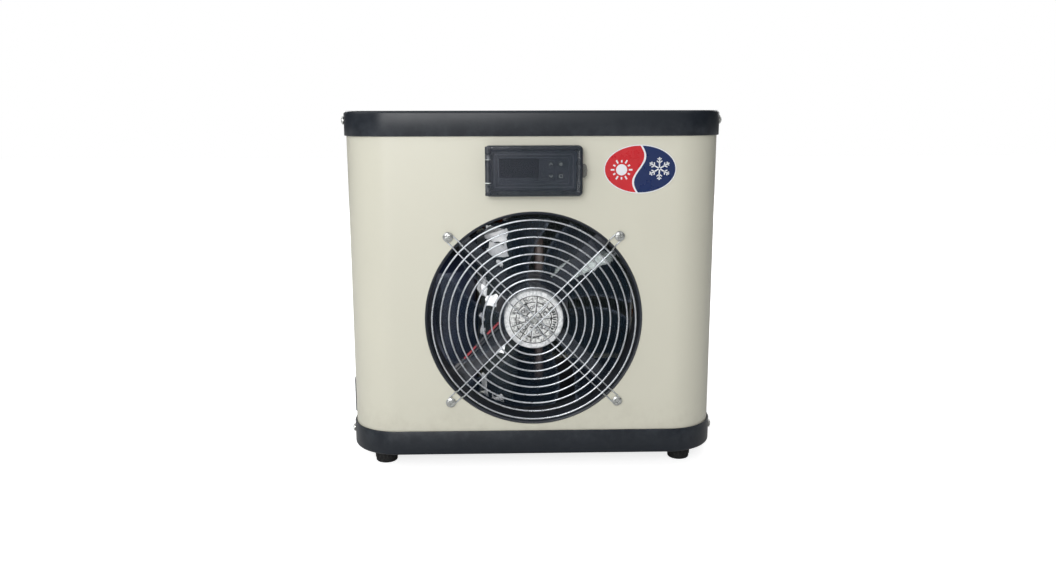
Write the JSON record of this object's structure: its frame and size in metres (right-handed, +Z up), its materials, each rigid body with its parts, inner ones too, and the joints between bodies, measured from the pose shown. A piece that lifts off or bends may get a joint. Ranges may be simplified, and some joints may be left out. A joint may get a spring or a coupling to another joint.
{
  "type": "heat pump unit",
  "caption": "Compact pool heat pump: cream sheet casing between dark cover and tray, guarded axial fan, flip-cover control box, water unions behind.",
  "frame": {"origin": "centre of the whole unit's outline on the floor under the feet", "axes": "+Z up, -Y towards the fan side (front), +X to the right seen from the front, along the longest side"},
  "size_m": [0.3688, 0.328, 0.35],
  "materials": {
    "cover_dark": "satin dark anthracite",
    "casing_cream": "semi-gloss cream",
    "black_plastic": "matte black",
    "gloss_black": "gloss black",
    "rubber": "matte black rubber",
    "bright_steel": "bright plated steel",
    "zinc_steel": "zinc plated",
    "cast_alloy": "bright cast alloy",
    "smoked_cover": "smoked translucent",
    "display_glass": "dark display window",
    "button_grey": "light grey print",
    "badge_blue": "printed oval",
    "fitting_grey": "dark grey PVC",
    "plate_grey": "satin grey plate",
    "copper": "copper tube",
    "fin_aluminium": "bare fins",
    "compressor_black": "black enamel",
    "titanium": "titanium tube",
    "box_grey": "grey sheet",
    "block_beige": "beige",
    "relay_blue": "blue case",
    "lead_red": "red and black insulation",
    "stator": "stator"
  },
  "bodies": {
    "casing": {"top_cover": "cover_dark", "body_wrap": "casing_cream", "rear_panel": "casing_cream", "rear_grille": "black_plastic", "base_tray": "cover_dark", "feet": "rubber", "foot_bolts": "zinc_steel", "lid_screws": "zinc_steel", "tray_screws": "zinc_steel", "rear_screws": "zinc_steel", "side_plate": "plate_grey", "fan_shroud": "black_plastic", "guard_rings": "bright_steel", "guard_spokes": "bright_steel", "guard_screws": "zinc_steel", "motor_stator": "stator", "motor_bracket": "black_plastic", "motor_screws": "zinc_steel", "badge": "badge_blue", "control_housing": "gloss_black", "hinge_pin": "zinc_steel", "controller_body": "black_plastic", "display_window": "display_glass", "cable_gland": "black_plastic", "gland_nut": "black_plastic", "inlet_port": "fitting_grey", "outlet_port": "fitting_grey", "inlet_tail": "fitting_grey", "outlet_tail": "fitting_grey", "drain_spout": "black_plastic", "rating_plate": "plate_grey", "compressor": "compressor_black", "accumulator": "compressor_black", "compressor_grommets": "rubber", "compressor_studs": "zinc_steel", "exchanger_shell": "fitting_grey", "exchanger_coil": "titanium", "evaporator_core": "fin_aluminium", "evaporator_bends": "copper", "coil_header": "copper", "discharge_pipe": "copper", "suction_pipe": "copper", "liquid_pipe": "copper", "filter_drier": "copper", "capillary": "copper", "electrical_box": "box_grey", "terminal_block": "block_beige", "run_capacitor": "black_plastic", "relay": "relay_blue", "fan_leads": "lead_red"},
    "fan": {"fan_blades": "gloss_black", "rotor_can": "cast_alloy", "motor_shaft": "zinc_steel"},
    "cover": {"flip_cover": "smoked_cover"},
    "key_up": {"button_up": "button_grey"},
    "key_down": {"button_down": "button_grey"},
    "key_set": {"button_set": "button_grey"},
    "key_power": {"button_power": "button_grey"},
    "inlet_union": {"inlet_nut": "fitting_grey"},
    "outlet_union": {"outlet_nut": "fitting_grey"}
  },
  "joints": [
    {"name": "fan_spin", "type": "hinge", "parent": "casing", "child": "fan", "pos_m": [0, -0.128, 0.1516], "axis": [0, 1, 0], "continuous": true},
    {"name": "cover_hinge", "type": "hinge", "parent": "casing", "child": "cover", "pos_m": [-0.04245, -0.16115, 0.2931], "axis": [0, 0, -1], "range_deg": [0, 150]},
    {"name": "up_press", "type": "slide", "parent": "casing", "child": "key_up", "axis": [0, 1, 0], "range_m": [0, 0.0006], "stiffness_N_per_m": 1500, "springref_m": -0.0003},
    {"name": "power_press", "type": "slide", "parent": "casing", "child": "key_power", "axis": [0, 1, 0], "range_m": [0, 0.0006], "stiffness_N_per_m": 1500, "springref_m": -0.0003},
    {"name": "down_press", "type": "slide", "parent": "casing", "child": "key_down", "axis": [0, 1, 0], "range_m": [0, 0.0006], "stiffness_N_per_m": 1500, "springref_m": -0.0003},
    {"name": "set_press", "type": "slide", "parent": "casing", "child": "key_set", "axis": [0, 1, 0], "range_m": [0, 0.0006], "stiffness_N_per_m": 1500, "springref_m": -0.0003},
    {"name": "inlet_nut_turn", "type": "hinge", "parent": "casing", "child": "inlet_union", "pos_m": [-0.104, 0.13, 0.104], "axis": [0, 1, 0], "continuous": true},
    {"name": "outlet_nut_turn", "type": "hinge", "parent": "casing", "child": "outlet_union", "pos_m": [-0.104, 0.13, 0.234], "axis": [0, 1, 0], "continuous": true}
  ]
}
